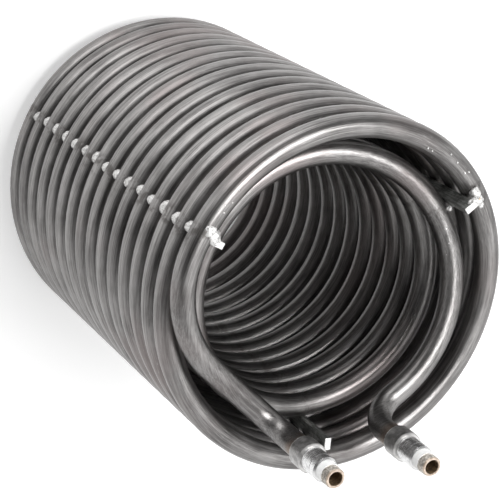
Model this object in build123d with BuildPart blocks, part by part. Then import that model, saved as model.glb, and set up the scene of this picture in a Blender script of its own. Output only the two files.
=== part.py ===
import os
from math import asin, cos, radians, sin, tan

from build123d import *

# A double heating coil of steel tube that stands on its plain end: an outer coil of open turns,
# an inner coil inside it, flat bars between the two, and a threaded nipple on each tube end.
# Z is up, along the axis of the coil, and the floor is at Z = 0. The mouth with the nipples is on top.
# A clock angle is in degrees from +Y, clockwise as seen from above.

# Tube and coils, in millimetres
tube_diameter = 21.3
tube_wall = 2.6
outer_coil_diameter = 330.0
coil_gap = 12.5
turn_pitch = 25.9
outer_half_turns = 31
inner_half_turns = 28
inner_set_back = 42.5
inner_lead_set_back = 2.5

# Clock angles where the tubes leave their coils, in degrees
outer_leave_clock = -60.0
coil_start_clock = -30.0

# Tube leads from the coils to the nipples
outer_lead_run = 75.0
outer_lead_bend_share = 0.95
lead_bend_radius = 31.5
lead_straight = 2.0
outer_nipple_radius = 124.6
outer_nipple_clock = 210.2
nipple_reach = 107.5

# Collars that join tube and nipple
collar_diameter = 27.4
collar_length = 18.0
collar_edge = 1.2
socket_clearance = 0.15
root_gap = 1.0

# Threaded nipples
nipple_body_diameter = 22.8
nipple_body_length = 22.6
nipple_body_chamfer = 1.6
nipple_neck_diameter = 17.0
nipple_neck_length = 8.2
thread_diameter = 18.0
thread_length = 9.0
thread_chamfer = 1.2
nipple_bore_diameter = 12.6

# Sealing tape wound on the neck of each nipple
tape_diameter = 19.6
tape_clearance = 0.1

# Flat spacer bars between the coils: clock angle, and how far each upper end
# stands above the middle of the top turn
bar_thickness = 6.0
bar_clearance = 0.3
bar_end_clearance = 1.0
bar_places = {
    "spacer_bar_upper_left": (-58.8, 3.7),
    "spacer_bar_upper_right": (59.5, 17.2),
    "spacer_bar_lower": (184.3, -1.4),
}

# Sizes worked out from the above
tube_radius = tube_diameter / 2
tube_bore_radius = tube_radius - tube_wall
outer_radius = outer_coil_diameter / 2 - tube_radius
inner_radius = outer_radius - tube_diameter - coil_gap
half_pitch = turn_pitch / 2
nipple_length = nipple_body_length + nipple_neck_length + thread_length

# Heights, from the floor up
base_turn_z = tube_radius
top_turn_z = base_turn_z + half_pitch * outer_half_turns
inner_top_z = top_turn_z - inner_set_back
inner_half_pitch = (inner_top_z - base_turn_z) / inner_half_turns
nipple_end_z = top_turn_z + nipple_reach
collar_top_z = nipple_end_z - nipple_length
collar_base_z = collar_top_z - collar_length
tube_end_z = collar_top_z - (collar_length + root_gap) / 2
tape_base_z = collar_top_z + nipple_body_length

upward = Vector(0, 0, 1)


def clock_point(radius, angle, z):
    """Point at a clock angle round the coil axis."""
    turn = radians(angle)
    return Vector(radius * sin(turn), radius * cos(turn), z)


def clock_heading(angle):
    """Direction of travel clockwise round the coil axis."""
    turn = radians(angle)
    return Vector(cos(turn), -sin(turn), 0)


def half_turn(start, end, angle):
    """Arc of half a turn from start to end, clockwise from a clock angle.
    It leans with the pitch, and it meets the next half turn in a smooth line."""
    across = end - start
    ThreePointArc(start, start + across / 2 + clock_heading(angle) * (across.length / 2), end)


def half_turns(radius, angle, first_z, advance, count):
    """Row of half turns that move along the axis by advance each."""
    for step in range(count):
        step_angle = angle + 180 * step
        step_z = first_z + advance * step
        start = clock_point(radius, step_angle, step_z)
        end = clock_point(radius, step_angle + 180, step_z + advance)
        half_turn(start, end, step_angle)


def make_tube(path, start, heading):
    """Tube along a path, from a ring section at its start."""
    with BuildPart() as tube:
        with BuildSketch(Plane(start, z_dir=heading)):
            Circle(tube_radius)
            Circle(tube_bore_radius, mode=Mode.SUBTRACT)
        sweep(path=path.wires()[0])
    return tube


# Outer lead: from the left nipple down to the mouth, across it and on to the top turn
outer_start = clock_point(outer_radius, outer_leave_clock, top_turn_z)
outer_heading = clock_heading(outer_leave_clock) * -1
outer_corner = outer_start + outer_heading * outer_lead_run
outer_nipple = clock_point(outer_nipple_radius, outer_nipple_clock, top_turn_z)
outer_turn = outer_heading.get_angle(outer_nipple - outer_corner)
outer_lead_radius = outer_lead_run * outer_lead_bend_share / tan(radians(outer_turn / 2))
outer_tube_end = Vector(outer_nipple.X, outer_nipple.Y, tube_end_z)
flat_arc_clock = (outer_leave_clock + coil_start_clock) / 2

# Crossing: the last half turn at the base, from the outer coil to the inner one
crossing_clock = coil_start_clock + 180 * outer_half_turns
crossing_start = clock_point(outer_radius, crossing_clock, base_turn_z)
crossing_end = clock_point(inner_radius, crossing_clock + 180, base_turn_z)

# Inner lead: half a turn that leans well up, then a bend to the nipple
inner_leave_clock = crossing_clock + 180 * (inner_half_turns + 1)
lean = asin((inner_set_back - inner_lead_set_back) / (2 * inner_radius))
lean_across = clock_point(inner_radius, inner_leave_clock + 180, 0)
inner_start = clock_point(inner_radius, inner_leave_clock, inner_top_z)
inner_end = inner_start + (lean_across * cos(lean) + upward * (inner_radius * sin(lean))) * 2
inner_heading = clock_heading(inner_leave_clock + 180)
inner_corner = inner_end + inner_heading * (lead_bend_radius + lead_straight)
inner_tube_end = Vector(inner_corner.X, inner_corner.Y, tube_end_z)


# Outer coil, with its lead to the left nipple
with BuildLine() as outer_path:
    FilletPolyline(
        outer_tube_end,
        outer_nipple,
        outer_corner,
        outer_start,
        radius=(lead_bend_radius, outer_lead_radius),
    )
    ThreePointArc(
        outer_start,
        clock_point(outer_radius, flat_arc_clock, top_turn_z),
        clock_point(outer_radius, coil_start_clock, top_turn_z),
    )
    half_turns(outer_radius, coil_start_clock, top_turn_z, -half_pitch, outer_half_turns)
outer_coil = make_tube(outer_path, outer_tube_end, upward * -1)

# Inner coil, with the crossing at the base and its lead to the right nipple
with BuildLine() as inner_path:
    half_turn(crossing_start, crossing_end, crossing_clock)
    half_turns(inner_radius, crossing_clock + 180, base_turn_z, inner_half_pitch, inner_half_turns)
    half_turn(inner_start, inner_end, inner_leave_clock)
    FilletPolyline(inner_end, inner_corner, inner_tube_end, radius=lead_bend_radius)
inner_coil = make_tube(inner_path, crossing_start, clock_heading(crossing_clock))


def make_collar(place):
    """Sleeve over the tube end and the root of the nipple."""
    with BuildPart() as collar:
        with BuildSketch(Plane((place.X, place.Y, collar_base_z))):
            Circle(collar_diameter / 2)
            Circle(tube_radius + socket_clearance, mode=Mode.SUBTRACT)
        extrude(amount=collar_length)
        rims = collar.edges().filter_by(GeomType.CIRCLE).sort_by(SortBy.RADIUS)[-2:]
        chamfer(rims, length=collar_edge)
    return collar


def make_nipple(place):
    """Plated nipple: a spigot in the collar, a plain body, a neck and a threaded end."""
    spigot_length = (collar_length - root_gap) / 2
    neck_end = nipple_body_length + nipple_neck_length
    bore = nipple_bore_diameter / 2
    body = nipple_body_diameter / 2
    neck = nipple_neck_diameter / 2
    thread = thread_diameter / 2
    with BuildPart() as nipple:
        with BuildSketch(Plane((place.X, place.Y, collar_top_z), x_dir=(1, 0, 0), z_dir=(0, -1, 0))):
            with BuildLine():
                Polyline(
                    (bore, -spigot_length),
                    (tube_radius, -spigot_length),
                    (tube_radius, 0),
                    (body, 0),
                    (body, nipple_body_length - nipple_body_chamfer),
                    (body - nipple_body_chamfer, nipple_body_length),
                    (neck, nipple_body_length),
                    (neck, neck_end),
                    (thread, neck_end),
                    (thread, nipple_length - thread_chamfer),
                    (thread - thread_chamfer, nipple_length),
                    (bore, nipple_length),
                    close=True,
                )
            make_face()
        revolve(axis=Axis((place.X, place.Y, 0), (0, 0, 1)))
    return nipple


def make_tape(place):
    """Band of sealing tape on the neck of the nipple."""
    with BuildPart() as tape:
        with BuildSketch(Plane((place.X, place.Y, tape_base_z))):
            Circle(tape_diameter / 2)
            Circle(nipple_neck_diameter / 2 + tape_clearance, mode=Mode.SUBTRACT)
        extrude(amount=nipple_neck_length)
    return tape


def make_bar(angle, top_reach):
    """Flat bar on edge between the coils."""
    bar_base_z = base_turn_z + tube_radius + bar_end_clearance
    bar_top_z = top_turn_z + top_reach
    middle = clock_point(inner_radius + tube_radius + coil_gap / 2, angle, bar_base_z)
    with BuildPart() as bar:
        with BuildSketch(Plane(middle, x_dir=clock_heading(angle), z_dir=(0, 0, 1))):
            Rectangle(bar_thickness, coil_gap - 2 * bar_clearance)
        extrude(amount=bar_top_z - bar_base_z)
    return bar


pieces = {
    "outer_coil": outer_coil,
    "inner_coil": inner_coil,
    "collar_left": make_collar(outer_tube_end),
    "collar_right": make_collar(inner_tube_end),
    "nipple_left": make_nipple(outer_tube_end),
    "nipple_right": make_nipple(inner_tube_end),
    "thread_tape_left": make_tape(outer_tube_end),
    "thread_tape_right": make_tape(inner_tube_end),
}
for bar_name, (bar_clock, bar_reach) in bar_places.items():
    pieces[bar_name] = make_bar(bar_clock, bar_reach)

os.makedirs("parts", exist_ok=True)
for name, piece in pieces.items():
    piece.part.label = name
    export_step(piece.part, f"parts/{name}.step")
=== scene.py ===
import math

import bmesh
import bpy
from mathutils import Matrix, Quaternion, Vector, noise


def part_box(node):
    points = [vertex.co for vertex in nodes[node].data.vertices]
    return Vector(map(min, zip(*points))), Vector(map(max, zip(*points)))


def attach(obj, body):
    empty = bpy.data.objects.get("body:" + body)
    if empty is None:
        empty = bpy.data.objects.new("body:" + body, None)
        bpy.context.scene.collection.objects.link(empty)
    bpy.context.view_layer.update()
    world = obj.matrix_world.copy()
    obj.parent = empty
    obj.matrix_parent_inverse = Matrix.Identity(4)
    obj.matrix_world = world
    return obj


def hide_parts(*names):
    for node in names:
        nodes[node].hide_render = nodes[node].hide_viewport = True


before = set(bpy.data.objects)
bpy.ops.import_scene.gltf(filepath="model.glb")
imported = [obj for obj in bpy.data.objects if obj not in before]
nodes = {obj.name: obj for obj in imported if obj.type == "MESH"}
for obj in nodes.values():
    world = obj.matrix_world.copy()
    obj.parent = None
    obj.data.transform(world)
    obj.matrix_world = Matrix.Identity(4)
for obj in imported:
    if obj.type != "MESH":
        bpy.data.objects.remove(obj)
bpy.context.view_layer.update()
print("frame loaded:", len(nodes), "nodes")


# The coil, in metres: sizes as in the part
coil = {
    "tubeRadius": 0.01065,
    "outerRadius": 0.15435,
    "innerRadius": 0.12055,
    "barRadius": 0.13745,
    "halfPitch": 0.01295,
    "outerHalfTurns": 31,
    "innerSetBack": 0.0425,         # from the top turn down to where the last inner turn starts to climb
    "innerClimb": 0.040,
    "startClock": -30,              # degrees from +Y, clockwise as seen from above
    "barClocks": {"UpperLeft": -58.8, "UpperRight": 59.5, "Lower": 184.3},
}
topTurnZ = coil["tubeRadius"] + coil["halfPitch"] * coil["outerHalfTurns"]


def clockOut(clock):
    turn = math.radians(clock)
    return Vector((math.sin(turn), math.cos(turn), 0))


def clockPoint(radius, clock, z):
    return clockOut(clock) * radius + Vector((0, 0, z))


def clockFrame(clock):              # columns: up, along the tube, outwards
    turn = math.radians(clock)
    along = Vector((math.cos(turn), -math.sin(turn), 0))
    return Matrix((Vector((0, 0, 1)), along, clockOut(clock))).transposed().to_4x4()


def outerTurnZ(clock, turn):        # middle of the outer tube, turns counted from the top
    steps, rest = divmod(clock - coil["startClock"] + 360 * turn, 180)
    if steps < 0:
        return topTurnZ             # the top turn starts level
    return topTurnZ - coil["halfPitch"] * (steps + (1 - math.cos(math.radians(rest))) / 2)


def innerLeadZ(clock):              # middle of the inner tube on the half turn that climbs to its lead
    share = (1 - math.cos(math.radians(clock - coil["startClock"]))) / 2
    return topTurnZ - coil["innerSetBack"] + coil["innerClimb"] * share


# Shader maths: a value on a socket, with Python's operators
class Value:
    def __init__(self, finish, socket):
        self.finish = finish
        self.socket = socket

    def maths(self, operation, *others):
        return self.finish.number(operation, self, *others)

    def __add__(self, other):
        return self.maths("ADD", other)

    __radd__ = __add__

    def __sub__(self, other):
        return self.maths("SUBTRACT", other)

    def __rsub__(self, other):
        return self.finish.number("SUBTRACT", other, self)

    def __mul__(self, other):
        return self.maths("MULTIPLY", other)

    __rmul__ = __mul__

    def __truediv__(self, other):
        return self.maths("DIVIDE", other)

    def __rtruediv__(self, other):
        return self.finish.number("DIVIDE", other, self)


# The nodes of one material or of the world, each made by add
class Finish:
    def __init__(self, tree):
        self.tree = tree
        tree.nodes.clear()

    def add(self, kind, settings=None, sockets=None, out=0):
        node = self.tree.nodes.new(kind)
        for key, value in (settings or {}).items():
            setattr(node, key, value)
        for key, value in (sockets or {}).items():
            if isinstance(value, Value):
                self.tree.links.new(value.socket, node.inputs[key])
            else:
                node.inputs[key].default_value = value
        if isinstance(out, tuple):
            return [Value(self, node.outputs[key]) for key in out]
        return Value(self, node.outputs[out]) if node.outputs else None

    def number(self, operation, *values):
        return self.add("ShaderNodeMath", {"operation": operation}, dict(enumerate(values)))

    def ramp(self, value, low, high):       # 0 at low, 1 at high, smooth between
        sockets = {"Value": value, "From Min": low, "From Max": high}
        return self.add("ShaderNodeMapRange", {"interpolation_type": "SMOOTHSTEP"}, sockets)

    def blend(self, factor, first, second):     # inputs 6 and 7 and output 2 are the colours
        return self.add("ShaderNodeMix", {"data_type": "RGBA"}, {0: factor, 6: first, 7: second}, 2)

    def noise(self, vector, scale=1.0, detail=3.0, rough=0.6, w=None):
        sockets = {"Vector": vector, "Scale": scale, "Detail": detail, "Roughness": rough}
        if w is not None:
            sockets["W"] = w
        dimensions = "3D" if w is None else "4D"
        return self.add("ShaderNodeTexNoise", {"noise_dimensions": dimensions}, sockets)

    def bump(self, height, distance, strength):
        sockets = {"Strength": strength, "Distance": distance, "Height": height}
        return self.add("ShaderNodeBump", None, sockets)

    def place(self):
        return self.add("ShaderNodeTexCoord", out="Object")

    def axes(self, vector):
        return self.add("ShaderNodeSeparateXYZ", None, {0: vector}, ("X", "Y", "Z"))

    def vector(self, x, y, z):
        return self.add("ShaderNodeCombineXYZ", None, {"X": x, "Y": y, "Z": z})

    def near(self, place, point, inner, outer):     # 1 within inner of a point, 0 past outer
        far = self.add("ShaderNodeVectorMath", {"operation": "DISTANCE"}, {0: place, 1: point}, "Value")
        return self.ramp(far, outer, inner)

    def close(self, colour, metallic, roughness, normal):
        sockets = {"Base Color": colour, "Metallic": metallic, "Roughness": roughness, "Normal": normal}
        shader = self.add("ShaderNodeBsdfPrincipled", None, sockets)
        self.add("ShaderNodeOutputMaterial", None, {"Surface": shader})


def newMaterial(name):
    material = bpy.data.materials.new(name)
    material.use_nodes = True
    return material, Finish(material.node_tree)


# Fittings: both nipples stand on the same heights, from the frame
fitting = {side: sum(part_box("nipple_" + side), Vector()) / 2 for side in ("left", "right")}
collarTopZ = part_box("collar_left")[1].z
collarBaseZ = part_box("collar_left")[0].z


# Drawn steel tube: streaks that follow the turns, brown and violet tints, soot by the welds
steel = {
    "light": (0.305, 0.297, 0.292, 1), "dark": (0.115, 0.110, 0.108, 1), "toneRange": (0.37, 0.63),
    "streakSize": 0.0012, "streakTurn": 1.8, "streakShare": 0.45,
    "fineSize": 0.000375, "fineTurn": 10.8, "fineShare": 0.3,
    "blotchScale": 26.0, "blotchShare": 0.25,
    "patchScale": 9.0,
    "tint": (0.215, 0.182, 0.178, 1), "tintRange": (0.5, 0.72), "tintShare": 0.5,
    "soot": (0.060, 0.054, 0.050, 1), "sootRange": (0.46, 0.62), "sootShare": 0.65,
    "sootScale": 120.0, "sootHalfAngle": 4.5,       # degrees each side of a bar
    "heat": (0.21, 0.125, 0.07, 1), "heatRange": (0.36, 0.58), "heatShare": 0.5,
    "heatInner": 0.010, "heatOuter": 0.021,         # from the foot of a collar
    "scuff": (0.56, 0.55, 0.54, 1), "scuffRange": (0.68, 0.74), "scuffPatches": (0.46, 0.6), "scuffShare": 0.6,
    "roughness": 0.22, "blotchRough": 0.18, "streakRough": 0.12, "burntRough": 0.2,
    "bumpHeight": 0.0002, "bumpStrength": 0.25, "bumpFine": 0.5,
}


def makeTubeMaterial():
    material, finish = newMaterial("tubeSteel")
    place = finish.place()
    x, y, z = finish.axes(place)
    radius = (x * x + y * y).maths("SQRT")

    def alongTurns(size, turn, detail):     # noise drawn out along the turns
        across = finish.vector(radius * (1 / size), z * (1 / size), y / radius * turn)
        return finish.noise(across, detail=detail, w=x / radius * turn)

    streak = alongTurns(steel["streakSize"], steel["streakTurn"], detail=3.0)
    fine = alongTurns(steel["fineSize"], steel["fineTurn"], detail=2.0)
    blotch = finish.noise(place, steel["blotchScale"], rough=0.55)
    patch = finish.noise(place, steel["patchScale"], detail=2.0, rough=0.5)
    tone = streak * steel["streakShare"] + fine * steel["fineShare"] + blotch * steel["blotchShare"]
    colour = finish.blend(finish.ramp(tone, *steel["toneRange"]), steel["dark"], steel["light"])
    tint = finish.ramp(patch, *steel["tintRange"]) * steel["tintShare"]
    colour = finish.blend(tint, colour, steel["tint"])

    sides = [clockOut(clock) for clock in coil["barClocks"].values()]
    limit = math.cos(math.radians(steel["sootHalfAngle"]))
    soot = sum(finish.ramp((x * side.x + y * side.y) / radius, limit, 1.0) for side in sides)
    speckle = finish.noise(place, steel["sootScale"])
    soot = soot * finish.ramp(speckle, *steel["sootRange"]) * steel["sootShare"]
    colour = finish.blend(soot, colour, steel["soot"])

    spots = [Vector((middle.x, middle.y, collarBaseZ)) for middle in fitting.values()]
    heat = sum(finish.near(place, spot, steel["heatInner"], steel["heatOuter"]) for spot in spots)
    heat = heat * finish.ramp(blotch, *steel["heatRange"]) * steel["heatShare"]
    colour = finish.blend(heat, colour, steel["heat"])

    scuff = finish.ramp(fine, *steel["scuffRange"]) * finish.ramp(patch, *steel["scuffPatches"])
    colour = finish.blend(scuff * steel["scuffShare"], colour, steel["scuff"])
    roughness = steel["roughness"] + blotch * steel["blotchRough"] + streak * steel["streakRough"]
    roughness = roughness + (soot + heat) * steel["burntRough"]
    bump = finish.bump(streak + fine * steel["bumpFine"], steel["bumpHeight"], steel["bumpStrength"])
    finish.close(colour, 1.0, roughness, bump)
    return material


# Turned collar: dark skin with turning lines and worn edges
collar = {
    "dark": (0.22, 0.216, 0.213, 1), "light": (0.46, 0.452, 0.445, 1), "toneRange": (0.4, 0.66),
    "blotchScale": 190.0, "blotchShare": 0.6,
    "ringScale": 2600.0, "ringShare": 0.4, "ringHeight": 0.00006, "ringStrength": 0.5,
    "edge": (0.72, 0.71, 0.70, 1), "edgeStart": 0.0016, "edgeFull": 0.0008,
    "edgeShare": 0.35, "edgeBlotch": 0.6,
    "metallic": 0.85, "roughness": 0.28, "blotchRough": 0.16,
}


def makeCollarMaterial():
    material, finish = newMaterial("collarSteel")
    place = finish.place()
    z = finish.axes(place)[2]
    blotch = finish.noise(place, collar["blotchScale"])
    rings = finish.noise(finish.vector(0.0, 0.0, z), collar["ringScale"], detail=2.0)
    tone = finish.ramp(blotch * collar["blotchShare"] + rings * collar["ringShare"], *collar["toneRange"])
    colour = finish.blend(tone, collar["dark"], collar["light"])
    rim = finish.ramp(z, collarTopZ - collar["edgeStart"], collarTopZ - collar["edgeFull"])
    rim = rim + finish.ramp(z, collarBaseZ + collar["edgeStart"], collarBaseZ + collar["edgeFull"])
    worn = rim * (collar["edgeShare"] + blotch * collar["edgeBlotch"])
    colour = finish.blend(worn, colour, collar["edge"])
    roughness = collar["roughness"] + blotch * collar["blotchRough"]
    bump = finish.bump(rings, collar["ringHeight"], collar["ringStrength"])
    finish.close(colour, collar["metallic"], roughness, bump)
    return material


# Bright plating on the nipple's body: fine turning rings and a few dull marks
plating = {
    "light": (0.74, 0.74, 0.74, 1), "dull": (0.17, 0.17, 0.175, 1), "dullRange": (0.5, 0.36),
    "ringScale": 1500.0, "ringShare": 0.7, "ringHeight": 0.0002, "ringStrength": 0.8,
    "markScale": 240.0, "markShare": 0.3,
    "metallic": 0.93, "roughness": 0.18, "ringRough": 0.16,
}


def makePlatingMaterial():
    material, finish = newMaterial("nipplePlating")
    place = finish.place()
    z = finish.axes(place)[2]
    rings = finish.noise(finish.vector(0.0, 0.0, z), plating["ringScale"], rough=0.65)
    marks = finish.noise(place, plating["markScale"])
    dull = finish.ramp(rings * plating["ringShare"] + marks * plating["markShare"], *plating["dullRange"])
    colour = finish.blend(dull, plating["light"], plating["dull"])
    roughness = plating["roughness"] + rings * plating["ringRough"]
    bump = finish.bump(rings, plating["ringHeight"], plating["ringStrength"])
    finish.close(colour, plating["metallic"], roughness, bump)
    return material


# Cut thread: duller zinc with grime in the roots
thread = {
    "light": (0.76, 0.72, 0.67, 1), "dark": (0.36, 0.33, 0.295, 1), "toneRange": (0.4, 0.62),
    "grimeScale": 420.0, "grimeHeight": 0.0001, "grimeStrength": 0.5,
    "metallic": 0.65, "roughness": 0.3, "grimeRough": 0.25,
}


def makeThreadMaterial():
    material, finish = newMaterial("cutThread")
    grime = finish.noise(finish.place(), thread["grimeScale"], rough=0.65)
    colour = finish.blend(finish.ramp(grime, *thread["toneRange"]), thread["dark"], thread["light"])
    roughness = thread["roughness"] + grime * thread["grimeRough"]
    bump = finish.bump(grime, thread["grimeHeight"], thread["grimeStrength"])
    finish.close(colour, thread["metallic"], roughness, bump)
    return material


# Bare end ring and rusty bore of the nipple
bareEnd = {
    "ring": {
        "light": (0.66, 0.56, 0.47, 1), "dark": (0.42, 0.33, 0.26, 1),
        "metallic": 0.55, "roughness": 0.35,
    },
    "bore": {
        "light": (0.30, 0.21, 0.12, 1), "dark": (0.12, 0.085, 0.055, 1),
        "metallic": 0.2, "roughness": 0.5,
    },
    "stainScale": 300.0, "stainRange": (0.36, 0.64), "stainRough": 0.2,
    "stainHeight": 0.00012, "stainStrength": 0.6,
}


def makeBareEndMaterial(name, part):
    look = bareEnd[part]
    material, finish = newMaterial(name)
    stain = finish.noise(finish.place(), bareEnd["stainScale"], detail=4.0)
    colour = finish.blend(finish.ramp(stain, *bareEnd["stainRange"]), look["dark"], look["light"])
    roughness = look["roughness"] + stain * bareEnd["stainRough"]
    bump = finish.bump(stain, bareEnd["stainHeight"], bareEnd["stainStrength"])
    finish.close(colour, look["metallic"], roughness, bump)
    return material


# White sealing tape: soft folds along the winding, with painted shade in the hollows of the folds
tapeSkin = {
    "white": (0.97, 0.97, 0.965, 1), "shade": (0.90, 0.90, 0.895, 1), "shadeRange": (0.6, 0.36),
    "foldsAcross": 120.0, "foldsUp": 900.0, "foldHeight": 0.00025, "foldStrength": 0.8,
    "roughness": 0.55, "foldRough": 0.2,
}


def makeTapeMaterial():
    material, finish = newMaterial("sealingTape")
    x, y, z = finish.axes(finish.place())
    across = tapeSkin["foldsAcross"]
    folds = finish.noise(finish.vector(x * across, y * across, z * tapeSkin["foldsUp"]))
    # painted shade: the colour goes darker where the folds dip
    colour = finish.blend(finish.ramp(folds, *tapeSkin["shadeRange"]), tapeSkin["white"], tapeSkin["shade"])
    roughness = tapeSkin["roughness"] + folds * tapeSkin["foldRough"]
    bump = finish.bump(folds, tapeSkin["foldHeight"], tapeSkin["foldStrength"])
    finish.close(colour, 0.0, roughness, bump)
    return material


# Flat bar: rolled dark sides, bright sheared end
barSkin = {
    "side": {"light": (0.34, 0.345, 0.33, 1), "dark": (0.15, 0.155, 0.148, 1), "grain": 700.0, "metallic": 0.9},
    "end": {"light": (0.90, 0.90, 0.885, 1), "dark": (0.66, 0.66, 0.65, 1), "grain": 900.0, "metallic": 0.4},
    "drawnOut": 0.12,                       # the grain runs along the bar
    "rolledShare": 0.6, "spotShare": 0.4, "spotScale": 330.0, "toneRange": (0.38, 0.62),
    "roughness": 0.34, "spotRough": 0.2, "bumpHeight": 0.00025, "bumpStrength": 0.6,
}


def makeBarMaterial(name, part):
    look = barSkin[part]
    grain = look["grain"]
    material, finish = newMaterial(name)
    place = finish.place()
    x, y, z = finish.axes(place)
    rolled = finish.noise(finish.vector(x * grain, y * grain, z * (grain * barSkin["drawnOut"])))
    spots = finish.noise(place, barSkin["spotScale"])
    tone = rolled * barSkin["rolledShare"] + spots * barSkin["spotShare"]
    colour = finish.blend(finish.ramp(tone, *barSkin["toneRange"]), look["dark"], look["light"])
    roughness = barSkin["roughness"] + spots * barSkin["spotRough"]
    bump = finish.bump(spots + rolled, barSkin["bumpHeight"], barSkin["bumpStrength"])
    finish.close(colour, look["metallic"], roughness, bump)
    return material


# Weld metal: silver with rippled, slightly sooty skin, and one burnt spot on the upper right bar
weld = {
    "plain": {"light": (0.66, 0.655, 0.645, 1), "dark": (0.38, 0.37, 0.36, 1)},
    # bright: the same weld metal with lighter colours, a painted highlight for the end welds and the spatter on
    # top
    "bright": {"light": (0.80, 0.795, 0.785, 1), "dark": (0.36, 0.355, 0.35, 1)},
    "skinScale": 520.0, "skinRange": (0.34, 0.56), "skinHeight": 0.00025, "skinStrength": 0.7,
    "metallic": 0.6, "roughness": 0.36, "skinRough": 0.2,
    "burn": (0.42, 0.22, 0.09, 1), "burnInner": 0.0008, "burnOuter": 0.0026,
    "burnRadius": 0.1485, "burnClock": 59.4, "burnHeight": 0.0125,      # height over the top turn
}


def makeWeldMaterial(name, part):
    look = weld[part]
    material, finish = newMaterial(name)
    place = finish.place()
    skin = finish.noise(place, weld["skinScale"])
    colour = finish.blend(finish.ramp(skin, *weld["skinRange"]), look["dark"], look["light"])
    spot = clockPoint(weld["burnRadius"], weld["burnClock"], topTurnZ + weld["burnHeight"])
    burn = finish.near(place, spot, weld["burnInner"], weld["burnOuter"])
    colour = finish.blend(burn, colour, weld["burn"])
    roughness = weld["roughness"] + skin * weld["skinRough"]
    bump = finish.bump(skin, weld["skinHeight"], weld["skinStrength"])
    finish.close(colour, weld["metallic"], roughness, bump)
    return material


def paint(name, material):
    slots = nodes[name].material_slots
    if not slots:
        nodes[name].data.materials.append(material)
    for slot in slots:
        slot.material = material


tubeMaterial = makeTubeMaterial()
collarMaterial = makeCollarMaterial()
platingMaterial = makePlatingMaterial()
threadMaterial = makeThreadMaterial()
ringMaterial = makeBareEndMaterial("bareEndRing", "ring")
boreMaterial = makeBareEndMaterial("rustyBore", "bore")
tapeMaterial = makeTapeMaterial()
barMaterial = makeBarMaterial("rolledBar", "side")
barEndMaterial = makeBarMaterial("shearedEnd", "end")
weldMaterial = makeWeldMaterial("weldMetal", "plain")
# the bright copy of the weld metal carries painted highlight, for the end welds and the spatter
weldPaintedLightMaterial = makeWeldMaterial("weldPaintedLight", "bright")
for name in ("outer_coil", "inner_coil"):
    paint(name, tubeMaterial)
for name in ("collar_left", "collar_right"):
    paint(name, collarMaterial)
print("materials done")


def makePiece(name, bm, materials, sharp=40):     # edges past sharp degrees stay sharp
    bmesh.ops.remove_doubles(bm, verts=bm.verts, dist=0.000001)
    bmesh.ops.recalc_face_normals(bm, faces=bm.faces)
    for face in bm.faces:
        face.smooth = True
    mesh = bpy.data.meshes.new(name)
    bm.to_mesh(mesh)
    bm.free()
    mesh.set_sharp_from_angle(angle=math.radians(sharp))
    for material in materials:
        mesh.materials.append(material)
    piece = bpy.data.objects.new(name, mesh)
    bpy.context.scene.collection.objects.link(piece)
    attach(piece, "root")
    return piece


def spinRound(bm, points, steps):           # closed outline of radius and height, round the Z axis
    verts = [bm.verts.new((radius, 0, height)) for radius, height in points]
    edges = [bm.edges.new(pair) for pair in zip(verts, verts[1:] + verts[:1])]
    bmesh.ops.spin(
        bm, geom=verts + edges, cent=(0, 0, 0), axis=(0, 0, 1), angle=math.tau, steps=steps, use_merge=True
    )
    bmesh.ops.remove_doubles(bm, verts=bm.verts, dist=0.0001)


def setOnFitting(bm, side, z):              # from millimetres round the Z axis to a fitting's own place
    place = Matrix.Translation((fitting[side].x, fitting[side].y, z)) @ Matrix.Scale(0.001, 4)
    bmesh.ops.transform(bm, matrix=place, verts=bm.verts)


# Threaded nipples, in millimetres up from the top of the collar
nipple = {
    "bore": 6.3, "boreChamfer": 0.5,
    "spigot": 10.6, "spigotLength": 8.4,
    "body": 11.4, "bodyLength": 22.6, "foot": 0.3, "chamfer": 1.6,
    "groove": 0.3, "grooveHeight": 14.2, "grooveWidth": 0.6,
    "neck": 8.5, "neckLength": 8.2,
    "thread": 9.0, "threadPitch": 1.34, "threadDepth": 0.75, "threadRows": 8,      # rows for each pitch
    "length": 39.8, "endChamfer": 1.1,
    "steps": 96,
    "slack": 0.01,
}
neckEnd = nipple["bodyLength"] + nipple["neckLength"]
threadEnd = nipple["length"] - nipple["endChamfer"]
nippleMaterials = (platingMaterial, threadMaterial, ringMaterial, boreMaterial)


def nippleOutline():
    bore, spigot, body, neck, crest = (nipple[key] for key in ("bore", "spigot", "body", "neck", "thread"))
    root, bodyEnd, length = -nipple["spigotLength"], nipple["bodyLength"], nipple["length"]
    foot, chamfer, boreChamfer = nipple["foot"], nipple["chamfer"], nipple["boreChamfer"]
    groove, grooveBase = nipple["groove"], nipple["grooveHeight"]
    grooveTop = grooveBase + nipple["grooveWidth"]
    points = [(bore, root), (spigot, root), (spigot, 0), (body - foot, 0), (body, foot)]
    points += [(body, grooveBase), (body - groove, grooveBase + groove)]
    points += [(body - groove, grooveTop), (body, grooveTop + groove)]
    points += [(body, bodyEnd - chamfer), (body - chamfer, bodyEnd), (neck, bodyEnd), (neck, neckEnd)]
    count = round((threadEnd - neckEnd) / (nipple["threadPitch"] / nipple["threadRows"]))
    points += [(crest, neckEnd + (threadEnd - neckEnd) * step / count) for step in range(count + 1)]
    points += [(crest - nipple["endChamfer"], length)]
    points += [(bore + boreChamfer, length), (bore, length - boreChamfer)]
    return points


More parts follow.
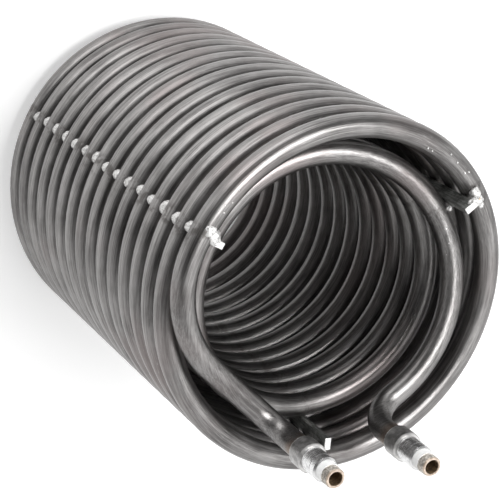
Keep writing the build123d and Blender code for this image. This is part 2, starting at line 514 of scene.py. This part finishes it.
def makeNipple(side):
    bm = bmesh.new()
    spinRound(bm, nippleOutline(), nipple["steps"])
    slack = nipple["slack"]
    for vert in bm.verts:                   # thread cut as a screw line
        radius = math.hypot(vert.co.x, vert.co.y)
        if radius > nipple["thread"] - slack and neckEnd + slack < vert.co.z < threadEnd + slack:
            screw = (vert.co.z / nipple["threadPitch"] - math.atan2(vert.co.y, vert.co.x) / math.tau) % 1
            cut = nipple["threadDepth"] * abs(screw * 2 - 1)
            vert.co.xy *= (radius - cut) / radius
    for face in bm.faces:                   # the rest is plated
        middle = face.calc_center_median()
        if math.hypot(middle.x, middle.y) < nipple["bore"] + slack:
            face.material_index = nippleMaterials.index(boreMaterial)
        elif middle.z > threadEnd + slack:
            face.material_index = nippleMaterials.index(ringMaterial)
        elif middle.z > neckEnd - slack:
            face.material_index = nippleMaterials.index(threadMaterial)
    setOnFitting(bm, side, collarTopZ)
    piece = makePiece("nipple" + side.capitalize(), bm, nippleMaterials, sharp=30)
    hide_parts("nipple_" + side)


for side in ("left", "right"):
    makeNipple(side)
print("nipples done")


# Sealing tape, in millimetres up from the top of the collar
tape = {
    "inner": 8.55, "outer": 9.6, "wrapRoom": 0.3, "proud": 0.15,
    "base": 22.75, "top": 30.6, "rows": 14, "steps": 84,
    "wraps": 2.6, "wrapStep": 0.16,
    "crease": 0.10, "creaseTurn": 3, "creaseRise": 1.3,
    "ragged": 1.1, "raggedTurn": 1.6, "raggedCoarse": 1.5, "raggedFine": 5, "raggedFineShare": 0.5,
    "raggedFall": 6,                        # how soon the rags die out below the upper edge
    "seeds": {"left": 1.7, "right": 6.2},
}


def makeTape(side):
    seed = tape["seeds"][side]
    height = tape["top"] - tape["base"]
    skin = tape["outer"] - tape["wrapRoom"]
    bm = bmesh.new()
    points = [(skin, tape["base"] + height * step / tape["rows"]) for step in range(tape["rows"] + 1)]
    spinRound(bm, [(tape["inner"], tape["base"])] + points + [(tape["inner"], tape["top"])], tape["steps"])
    for vert in bm.verts:
        angle = math.atan2(vert.co.y, vert.co.x)
        radius = math.hypot(vert.co.x, vert.co.y)
        around = Vector((math.cos(angle), math.sin(angle), 0))
        share = (vert.co.z - tape["base"]) / height
        if radius > (tape["inner"] + skin) / 2:
            wrap = (share * tape["wraps"] + angle / math.tau) % 1       # overlap steps wind up the neck
            rise = Vector((0, 0, vert.co.z * tape["creaseRise"] + seed))
            radius += tape["wrapStep"] * wrap + tape["crease"] * noise.noise(around * tape["creaseTurn"] + rise)
            vert.co.xy = around.xy * min(radius, tape["outer"] + tape["proud"])
        ring = around * tape["raggedTurn"] + Vector((0, 0, seed))
        rag = noise.noise(ring * tape["raggedCoarse"])
        rag += tape["raggedFineShare"] * noise.noise(ring * tape["raggedFine"])
        vert.co.z += tape["ragged"] * rag * share ** tape["raggedFall"]
    setOnFitting(bm, side, collarTopZ)
    piece = makePiece("threadTape" + side.capitalize(), bm, (tapeMaterial,))
    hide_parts("thread_tape_" + side)


for side in ("left", "right"):
    makeTape(side)
print("tape done")


# Flat bars on edge, rough and slightly sloping at the sheared end
bar = {
    "thickness": 0.006,
    "width": 0.0119,
    "base": 0.0223,
    "reach": {"UpperLeft": 0.0037, "UpperRight": 0.0172, "Lower": -0.0014},     # over the top turn
    "nodes": {"UpperLeft": "upper_left", "UpperRight": "upper_right", "Lower": "lower"},
    "edge": 0.0006,
    "endCuts": 5, "endBand": 0.0009, "endPaint": 0.0011,
    "endRoughness": 0.00035, "endGrain": 700, "endSet": 0.8, "endSlope": 0.00035,
}


def makeBar(where):
    clock = coil["barClocks"][where]
    length = topTurnZ + bar["reach"][where] - bar["base"]
    bm = bmesh.new()
    bmesh.ops.create_cube(bm, size=1)
    bmesh.ops.scale(bm, vec=(length, bar["thickness"], bar["width"]), verts=bm.verts)
    bmesh.ops.bevel(
        bm, geom=bm.edges[:], offset=bar["edge"], affect="EDGES", segments=2, profile=0.5, material=-1
    )
    end = next(face for face in bm.faces if face.normal.x > 0.99)
    bmesh.ops.subdivide_edges(bm, edges=end.edges[:], cuts=bar["endCuts"], use_grid_fill=True)
    for vert in bm.verts:
        if vert.co.x > length / 2 - bar["endBand"]:
            rough = noise.noise(Vector((vert.co.y * bar["endGrain"], vert.co.z * bar["endGrain"], len(where))))
            slope = bar["endSlope"] * (vert.co.z / bar["width"] + 0.5)
            vert.co.x -= bar["endRoughness"] * (bar["endSet"] + rough) + slope
    for face in bm.faces:
        if face.calc_center_median().x > length / 2 - bar["endPaint"]:
            face.material_index = 1         # sheared end
    middle = clockPoint(coil["barRadius"], clock, bar["base"] + length / 2)
    bmesh.ops.transform(bm, matrix=Matrix.Translation(middle) @ clockFrame(clock), verts=bm.verts)
    piece = makePiece("spacerBar" + where, bm, (barMaterial, barEndMaterial))
    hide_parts("spacer_bar_" + bar["nodes"][where])


for where in coil["barClocks"]:
    makeBar(where)
print("bars done")


# A blob of weld metal with ripples round its crown
blob = {"subdivisions": 4, "rippleShift": 0.3, "lumpGrain": 1.4}


def addBlob(bm, place, size, seed, skin):       # place: matrix with Z outwards
    shift = Vector((seed, 0, seed * 2))
    made = bmesh.ops.create_icosphere(bm, subdivisions=blob["subdivisions"], radius=0.5)["verts"]
    for vert in made:
        x, y, z = vert.co * 2
        ripple = math.cos(math.tau * skin["rings"] * math.hypot(x + blob["rippleShift"], y)) * skin["ringDepth"]
        lump = skin["lump"] * noise.noise(Vector((x, y, z)) * blob["lumpGrain"] + shift)
        vert.co *= 1 + ripple * max(z, 0) + lump
    bmesh.ops.transform(bm, matrix=place @ Matrix.Diagonal((*size, 1)), verts=made)


# Weld beads in the crevices of the outer coil, over each bar
bead = {
    "count": 15,
    "radius": 0.1590,               # from the coil's axis to the middle of a bead
    "across": 0.0136, "along": 0.0104, "high": 0.0084, "growth": 0.22,
    "rings": 2.3, "ringDepth": 0.055, "lump": 0.10,
    "scatter": 0.0009, "scatterAlong": 0.00198,
    "clockShift": 0.8,              # degrees past the middle of the bar
    "turned": 0.6, "turnedScatter": 1.2,
    "seedStep": 3.7, "clockSeed": 0.31, "axisSeed": 9.3,
}


def makeBeads(where, clock):
    bm = bmesh.new()
    for turn in range(bead["count"]):
        seed = turn * bead["seedStep"] + clock * bead["clockSeed"]
        along, up, swell = (noise.noise(Vector((seed, axis * bead["axisSeed"], 0.5))) for axis in range(3))
        angle = clock + bead["clockShift"] + math.degrees(bead["scatterAlong"] * along / bead["radius"])
        height = (outerTurnZ(angle, turn) + outerTurnZ(angle, turn + 1)) / 2 + bead["scatter"] * up
        place = Matrix.Translation(clockPoint(bead["radius"], angle, height)) @ clockFrame(angle)
        place = place @ Matrix.Rotation(bead["turned"] + bead["turnedScatter"] * swell, 4, "Z")
        size = (bead["across"], bead["along"] * (1 + bead["growth"] * swell), bead["high"])
        addBlob(bm, place, size, seed, bead)
    makePiece("weldBeads" + where, bm, (weldMaterial,), sharp=180)


for where, clock in coil["barClocks"].items():
    makeBeads(where, clock)
print("beads done")


# Welds that hold the bar ends to the coils: radius, clock angle in degrees, height over the top turn,
# and size upwards, along the tube and outwards, in millimetres
endWelds = {
    "UpperLeft": [
        (153.5, -56.0, 7.6, 9.0, 13.0, 12.0),
        (147.5, -57.0, 6.0, 10.0, 14.0, 13.5),
        (141.5, -58.2, 3.0, 5.5, 8.0, 11.0),
    ],
    "UpperRight": [
        (150.5, 58.5, 6.4, 9.5, 10.5, 10.0),
        (148.6, 60.7, 8.4, 10.0, 11.0, 10.5),
        (150.3, 63.6, 5.8, 6.0, 6.5, 5.5),
        (143.6, 58.6, 13.4, 7.5, 5.0, 11.5),
        (130.0, 62.0, -13.0, 6.0, 5.5, 5.5),
    ],
}
endWeldSkin = {"rings": 1.6, "ringDepth": 0.05, "lump": 0.28, "seedStep": 5.1}


def makeEndWelds(where, blobs):
    bm = bmesh.new()
    for step, (radius, clock, height, *size) in enumerate(blobs):
        middle = clockPoint(radius / 1000, clock, topTurnZ + height / 1000)
        place = Matrix.Translation(middle) @ clockFrame(clock)
        seed = step * endWeldSkin["seedStep"] + clock
        addBlob(bm, place, [side / 1000 for side in size], seed, endWeldSkin)
    makePiece("endWelds" + where, bm, (weldPaintedLightMaterial,), sharp=180)


for where, blobs in endWelds.items():
    makeEndWelds(where, blobs)
print("end welds done")


# Specks of weld spatter on the top turn and on the last inner turn:
# clock angle and lean outwards from straight up, in degrees, and size in millimetres
spatter = {
    "topTurn": [
        (32, -30, 2.2), (34, -31, 1.8), (41, 8, 1.8), (45, 0, 1.8), (50, -7, 2.4), (51, 12, 2.0),
        (-49, -7, 1.6), (-47, 11, 1.2), (-45, -10, 1.7), (-41, 7, 1.3),
    ],
    "lastInnerTurn": [(68, -14, 3.2), (75, -24, 2.2), (80, -49, 2.0)],
    "lump": 0.0002, "lumpGrain": 900,
}


def addSpeck(bm, middle, clock, lean, size):
    turn = math.radians(lean)
    side = clockOut(clock) * math.sin(turn) + Vector((0, 0, math.cos(turn)))
    place = Matrix.Translation(middle + side * coil["tubeRadius"])
    for vert in bmesh.ops.create_icosphere(bm, subdivisions=2, radius=size / 2000, matrix=place)["verts"]:
        vert.co.z += spatter["lump"] * noise.noise(vert.co * spatter["lumpGrain"])


def makeSpatter():
    bm = bmesh.new()
    for clock, lean, size in spatter["topTurn"]:
        addSpeck(bm, clockPoint(coil["outerRadius"], clock, outerTurnZ(clock, 0)), clock, lean, size)
    for clock, lean, size in spatter["lastInnerTurn"]:
        addSpeck(bm, clockPoint(coil["innerRadius"], clock, innerLeadZ(clock)), clock, lean, size)
    makePiece("weldSpatter", bm, (weldPaintedLightMaterial,), sharp=180)


makeSpatter()
print("spatter done")


# Weld fillet where each tube goes into its collar, in millimetres up from the collar's foot
fillet = {
    "tube": 10.5, "collar": 13.3, "top": 0.6, "height": 2.6, "rows": 8, "steps": 156,
    "ripples": 26, "ripple": 0.35, "rippleSlant": 2.2,
    "uneven": 1.5, "unevenTurn": 2, "unevenSeed": 3.1,
}


def makeFillet(side):
    bm = bmesh.new()
    points = [(fillet["tube"], fillet["top"])]
    for step in range(fillet["rows"] + 1):
        turn = math.pi / 2 * step / fillet["rows"]
        radius = fillet["tube"] + (fillet["collar"] - fillet["tube"]) * math.sin(turn)
        points.append((radius, fillet["top"] - fillet["height"] * math.cos(turn)))
    spinRound(bm, points, fillet["steps"])
    for vert in bm.verts:
        angle = math.atan2(vert.co.y, vert.co.x)
        low = max(0.0, (fillet["top"] - vert.co.z) / fillet["height"])
        around = Vector((math.cos(angle), math.sin(angle), 0)) * fillet["unevenTurn"]
        wave = math.sin(angle * fillet["ripples"] + low * fillet["rippleSlant"])
        wave += fillet["uneven"] * noise.noise(around + Vector((0, 0, fillet["unevenSeed"])))
        vert.co.z -= fillet["ripple"] * wave * low
    setOnFitting(bm, side, collarBaseZ)
    makePiece("collarWeld" + side.capitalize(), bm, (collarMaterial,), sharp=60)


for side in ("left", "right"):
    makeFillet(side)
print("fillets done")


# Floor and studio
studio = {
    "floorSize": 24.0,
    "floorColour": (0.86, 0.86, 0.86, 1),
    "floorGlow": 0.36,
    "roomLight": 1.15,
    "roomDark": 0.03,
    "paleSide": (0.25, -0.8, -0.45), "paleRange": (-0.5, 0.12),         # towards the pale end of the room
    "lowRange": (0.36, 0.2), "lowShare": 0.8,                           # pale band all round low down
}


def makeFloor():
    bm = bmesh.new()
    bmesh.ops.create_grid(bm, x_segments=1, y_segments=1, size=studio["floorSize"] / 2)
    mesh = bpy.data.meshes.new("studioFloor")
    bm.to_mesh(mesh)
    bm.free()
    floor = bpy.data.objects.new("studioFloor", mesh)
    bpy.context.scene.collection.objects.link(floor)
    material, finish = newMaterial("studioFloor")
    rays = ("Is Camera Ray", "Is Glossy Ray", "Is Transmission Ray")
    camera, glossy, through = finish.add("ShaderNodeLightPath", out=rays)
    seen = camera.maths("MAXIMUM", glossy).maths("MAXIMUM", through)
    paper = finish.add("ShaderNodeBsdfDiffuse", None, {"Color": studio["floorColour"]})
    glowSockets = {"Color": (1, 1, 1, 1), "Strength": seen * studio["floorGlow"]}
    glow = finish.add("ShaderNodeEmission", None, glowSockets)
    both = finish.add("ShaderNodeAddShader", None, {0: paper, 1: glow})
    finish.add("ShaderNodeOutputMaterial", None, {"Surface": both})
    mesh.materials.append(material)


def makeWorld():                    # pale at one end of the room and all round low down, dark for the rest
    world = bpy.data.worlds.new("studio")
    world.use_nodes = True
    bpy.context.scene.world = world
    finish = Finish(world.node_tree)
    x, y, z = finish.axes(finish.add("ShaderNodeTexCoord", out="Generated"))
    side = studio["paleSide"]
    pale = finish.ramp(x * side[0] + y * side[1] + z * side[2], *studio["paleRange"])
    low = finish.ramp(z, *studio["lowRange"]) * studio["lowShare"]
    room = studio["roomDark"] + pale.maths("MAXIMUM", low) * studio["roomLight"]
    glow = finish.add("ShaderNodeBackground", None, {"Color": (1, 1, 1, 1), "Strength": room})
    finish.add("ShaderNodeOutputWorld", None, {"Surface": glow})


lamps = {
    "keySoftbox": {"place": (0.30, 0.42, 2.05), "width": 0.65, "height": 1.1, "power": 31},
    "lowSoftbox": {"place": (-0.5, 1.6, 0.6), "width": 1.3, "height": 0.8, "power": 12},
    "topSoftbox": {"place": (1.05, -0.85, 2.0), "width": 1.4, "height": 1.4, "power": 5},
}


def makeLamps():                    # all aimed at the middle of the coil
    for name, lamp in lamps.items():
        light = bpy.data.lights.new(name, "AREA")
        light.shape = "RECTANGLE"
        light.size, light.size_y = lamp["width"], lamp["height"]
        light.energy = lamp["power"]
        holder = bpy.data.objects.new(name, light)
        bpy.context.scene.collection.objects.link(holder)
        holder.location = lamp["place"]
        aim = Vector((0, 0, topTurnZ / 2)) - holder.location
        holder.rotation_euler = aim.to_track_quat("-Z", "Y").to_euler()


# Camera at the photograph's viewing angle: metres, degrees, and millimetres for the lens
shot = {
    "place": (-0.6935, 0.5762, 1.6507),
    "azimuth": 130.28,
    "down": 57.25,
    "roll": 125.25,
    "lens": 127.4, "sensor": 36,
    "clipStart": 0.05, "clipEnd": 50,
}


def makeCamera():
    data = bpy.data.cameras.new("photoCamera")
    data.lens, data.sensor_width = shot["lens"], shot["sensor"]
    data.clip_start, data.clip_end = shot["clipStart"], shot["clipEnd"]
    camera = bpy.data.objects.new("photoCamera", data)
    bpy.context.scene.collection.objects.link(camera)
    turn, down = math.radians(shot["azimuth"]), math.radians(shot["down"])
    look = Vector((math.sin(turn) * math.cos(down), math.cos(turn) * math.cos(down), -math.sin(down)))
    roll = Quaternion((0, 0, 1), math.radians(shot["roll"]))
    camera.location = shot["place"]
    camera.rotation_euler = (look.to_track_quat("-Z", "Y") @ roll).to_euler()
    bpy.context.scene.camera = camera


makeFloor()
makeWorld()
makeLamps()
makeCamera()
bpy.context.scene.view_settings.view_transform = "Standard"
print("studio done")
